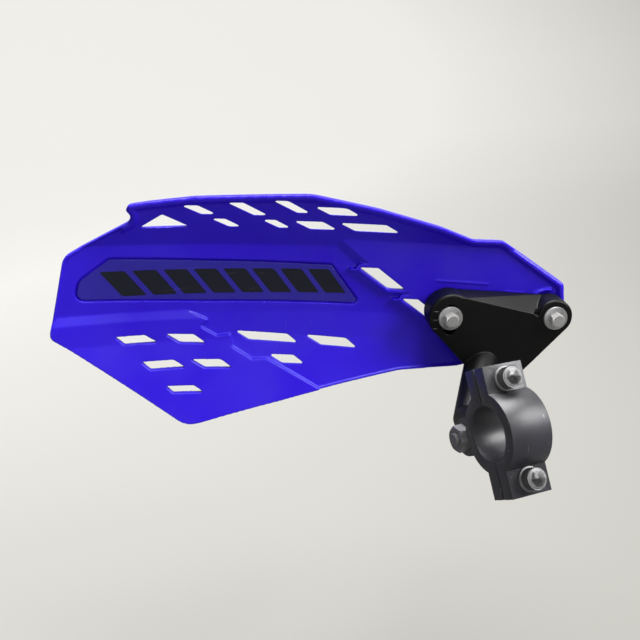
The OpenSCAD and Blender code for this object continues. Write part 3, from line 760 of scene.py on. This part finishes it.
class HANDGUARD_OT_shield_fasteners(bpy.types.Operator):
    """Builds the shield's screws, washers and flange nuts, and the pivot bush"""
    bl_idname = "handguard.shield_fasteners"
    bl_label = "Shield fasteners"

    def execute(self, context):
        look = context.scene.hardware_look
        zinc = steel("Zinc plate", 0.34)
        # The washers' plating is darkened to 0.7 of the screws' plating as painted shade
        shaded_washer_zinc = steel("Washer plate in painted shade", 0.34, 0.7)
        bore = SCREW_R + BORE_GAP
        head_seat = BRACKET_T + WASHER_T
        for side, x in (("outer", -SCREW_X), ("inner", SCREW_X)):
            turn = TOWARD_RIDER @ Matrix.Translation((x, 0, 0))
            bm = bmesh.new()
            hex_prism(bm, look.head_af, head_seat, head_seat + HEAD_H)
            add_shank(bm, SCREW_R, head_seat, SHIELD_FRONT, SHIELD_FRONT + NUT_H + PAST_NUT)
            add_fastener(side + "_hex_screw", bm, "guard", zinc, side + "_shield_screw", turn,
                         FACET_ANGLE)
            bm = bmesh.new()
            washer(bm, bore, look.washer_d / 2, BRACKET_T + WASHER_SLIP, head_seat)
            add_fastener(side + "_plain_washer", bm, "guard", shaded_washer_zinc, side + "_shield_washer",
                         turn)
            bm = bmesh.new()
            hex_prism(bm, NUT_AF, SHIELD_FRONT + FLANGE_SLOPE_H, SHIELD_FRONT + NUT_H)
            lathe(bm, [(SCREW_R, SHIELD_FRONT), (SCREW_R, SHIELD_FRONT + NUT_FLANGE_T),
                       (FLANGE_FLAT_R, SHIELD_FRONT + NUT_FLANGE_T),
                       (FLANGE_SLOPE_R, SHIELD_FRONT + FLANGE_SLOPE_H),
                       (NUT_FLANGE_R, SHIELD_FRONT + FLANGE_RIM_H), (NUT_FLANGE_R, SHIELD_FRONT)])
            add_fastener(side + "_flange_nut", bm, "guard", zinc, side + "_shield_nut",
                         turn @ FLIP, FACET_ANGLE)
        outer_r = bore + BUSH_WALL
        bm = bmesh.new()
        lathe(bm, [(bore, 0), (bore, BRACKET_T), (outer_r - BUSH_EDGE, BRACKET_T),
                   (outer_r, BRACKET_T - BUSH_EDGE), (outer_r, 0)])
        add_fastener("steel_bush", bm, "mount", zinc, "pivot_bush",
                     TOWARD_RIDER @ Matrix.Translation((SCREW_X, 0, 0)))
        return {"FINISHED"}


class HANDGUARD_OT_clamp_fasteners(bpy.types.Operator):
    """Builds the clamp's cap screws, washers and nuts, and the arm's bolt"""
    bl_idname = "handguard.clamp_fasteners"
    bl_label = "Clamp fasteners"

    def execute(self, context):
        # Rougher plating whose colour is darkened to 0.3 of the plating's as painted shade
        dull = steel("Rough zinc plate in painted shade", 0.5, 0.3)
        head_seat = EAR_FACE + CLAMP_WASHER_T
        end = EAR_FACE + CLAMP_NUT_H + PAST_NUT
        for side, y in (("front", CLAMP_SCREW_Y), ("rear", -CLAMP_SCREW_Y)):
            turn = CLAMP @ Matrix.Translation((0, y, 0))
            bm = bmesh.new()
            cap_head(bm, CAP_R, head_seat, head_seat + CAP_H, KEY_R, KEY_DEPTH)
            add_shank(bm, SCREW_R, head_seat, EAR_FACE + CLAMP_THREAD_FROM, end)
            add_fastener(side + "_cap_screw", bm, "mount", dull, side + "_clamp_screw", turn,
                         FACET_ANGLE)
            bm = bmesh.new()
            washer(bm, SCREW_R + BORE_GAP, CLAMP_WASHER_R, EAR_FACE, head_seat)
            add_fastener(side + "_round_washer", bm, "mount", dull, side + "_clamp_washer", turn)
            bm = bmesh.new()
            hex_prism(bm, CLAMP_NUT_R * math.sqrt(3), EAR_FACE, EAR_FACE + CLAMP_NUT_H)
            add_fastener(side + "_hex_nut", bm, "mount", dull, side + "_clamp_nut", turn @ FLIP,
                         FACET_ANGLE)
        turn = CLAMP @ Matrix.Translation((0, 0, -LUG_REACH)) @ Matrix.Rotation(math.pi / 2, 4, "Y")
        head_seat = EYE_FACE + ARM_WASHER_T
        end = LUG_FACE + ARM_NUT_H + PAST_NUT
        hex_af = ARM_HEX_R * math.sqrt(3)
        bm = bmesh.new()
        hex_prism(bm, hex_af, head_seat, head_seat + ARM_HEAD_H)
        add_shank(bm, ARM_BOLT_R, head_seat, LUG_FACE + ARM_THREAD_FROM, end)
        add_fastener("hex_arm_bolt", bm, "mount", dull, "arm_bolt", turn, FACET_ANGLE)
        bm = bmesh.new()
        washer(bm, ARM_BOLT_R + BORE_GAP, ARM_WASHER_R, EYE_FACE, head_seat)
        add_fastener("arm_bolt_washer", bm, "mount", dull, "arm_washer", turn)
        bm = bmesh.new()
        hex_prism(bm, hex_af, LUG_FACE, LUG_FACE + ARM_NUT_H)
        add_fastener("arm_bolt_nut", bm, "mount", dull, "arm_nut", turn @ FLIP, FACET_ANGLE)
        return {"FINISHED"}


class HANDGUARD_OT_stage(bpy.types.Operator):
    """Sets the camera, the pale floor and backdrop, and the soft lights"""
    bl_idname = "handguard.stage"
    bl_label = "Stage"

    def execute(self, context):
        scene = context.scene
        look = scene.stage_look
        lens = bpy.data.cameras.new("Camera")
        lens.lens = LENS_MM
        lens.sensor_width = SENSOR_MM
        lens.clip_start = 0.01
        camera = bpy.data.objects.new("Camera", lens)
        camera.location = CAMERA_PLACE
        camera.rotation_euler = [math.radians(turn) for turn in CAMERA_TURN]
        scene.collection.objects.link(camera)
        scene.camera = camera

        bm = bmesh.new()
        verts = [bm.verts.new((BACKDROP_LEFT, y, z - look.floor_drop)) for y, z in BACKDROP_CURVE]
        edges = [bm.edges.new(pair) for pair in zip(verts, verts[1:])]
        wide = bmesh.ops.extrude_edge_only(bm, edges=edges)
        bmesh.ops.translate(bm, vec=(BACKDROP_WIDE, 0, 0), verts=new_parts(wide, bmesh.types.BMVert))
        backdrop = new_object("backdrop", bm, studio_paper(look))

        scene.world = bpy.data.worlds.new("Studio")
        scene.world.use_nodes = True
        sky = scene.world.node_tree.nodes["Background"]
        sky.inputs["Color"].default_value = SKY
        sky.inputs["Strength"].default_value = SKY_STRENGTH
        for lamp in LAMPS:
            light = bpy.data.lights.new(lamp["name"], "AREA")
            light.size = lamp["size"]
            light.energy = lamp["power"]
            holder = bpy.data.objects.new(lamp["name"], light)
            place = Vector(lamp["place"])
            holder.location = place
            holder.rotation_euler = (Vector(lamp["aim"]) - place).to_track_quat("-Z", "Y").to_euler()
            scene.collection.objects.link(holder)
        scene.view_settings.view_transform = "Standard"
        return {"FINISHED"}


class HANDGUARD_PT_panel(bpy.types.Panel):
    """Lists the hand guard's pieces"""
    bl_idname = "HANDGUARD_PT_panel"
    bl_label = "Hand Guard"
    bl_space_type = "VIEW_3D"
    bl_region_type = "UI"
    bl_category = "Hand Guard"

    def draw(self, context):
        for group_name in GROUPS:
            settings = getattr(context.scene, group_name)
            box = self.layout.box()
            for field in settings.bl_rna.properties.keys():
                if field not in ("rna_type", "name"):
                    box.prop(settings, field)
        for operator in OPERATORS:
            self.layout.operator(operator.bl_idname)


GROUPS = {
    "shield_look": ShieldLook,
    "bracket_look": BracketLook,
    "hardware_look": HardwareLook,
    "stage_look": StageLook,
}
OPERATORS = (
    HANDGUARD_OT_stage,
    HANDGUARD_OT_shield,
    HANDGUARD_OT_panel,
    HANDGUARD_OT_bracket,
    HANDGUARD_OT_clamp,
    HANDGUARD_OT_shield_fasteners,
    HANDGUARD_OT_clamp_fasteners,
)


def register():
    for name, cls in GROUPS.items():
        bpy.utils.register_class(cls)
        setattr(bpy.types.Scene, name, bpy.props.PointerProperty(type=cls))
    for cls in (*OPERATORS, HANDGUARD_PT_panel):
        bpy.utils.register_class(cls)


def unregister():
    for cls in (HANDGUARD_PT_panel, *reversed(OPERATORS)):
        bpy.utils.unregister_class(cls)
    for name, cls in GROUPS.items():
        delattr(bpy.types.Scene, name)
        bpy.utils.unregister_class(cls)


def main():
    register()
    bpy.ops.handguard.stage()
    bpy.ops.handguard.shield()
    bpy.ops.handguard.panel()
    bpy.ops.handguard.bracket()
    bpy.ops.handguard.clamp()
    bpy.ops.handguard.shield_fasteners()
    bpy.ops.handguard.clamp_fasteners()


if __name__ == "__main__":
    main()
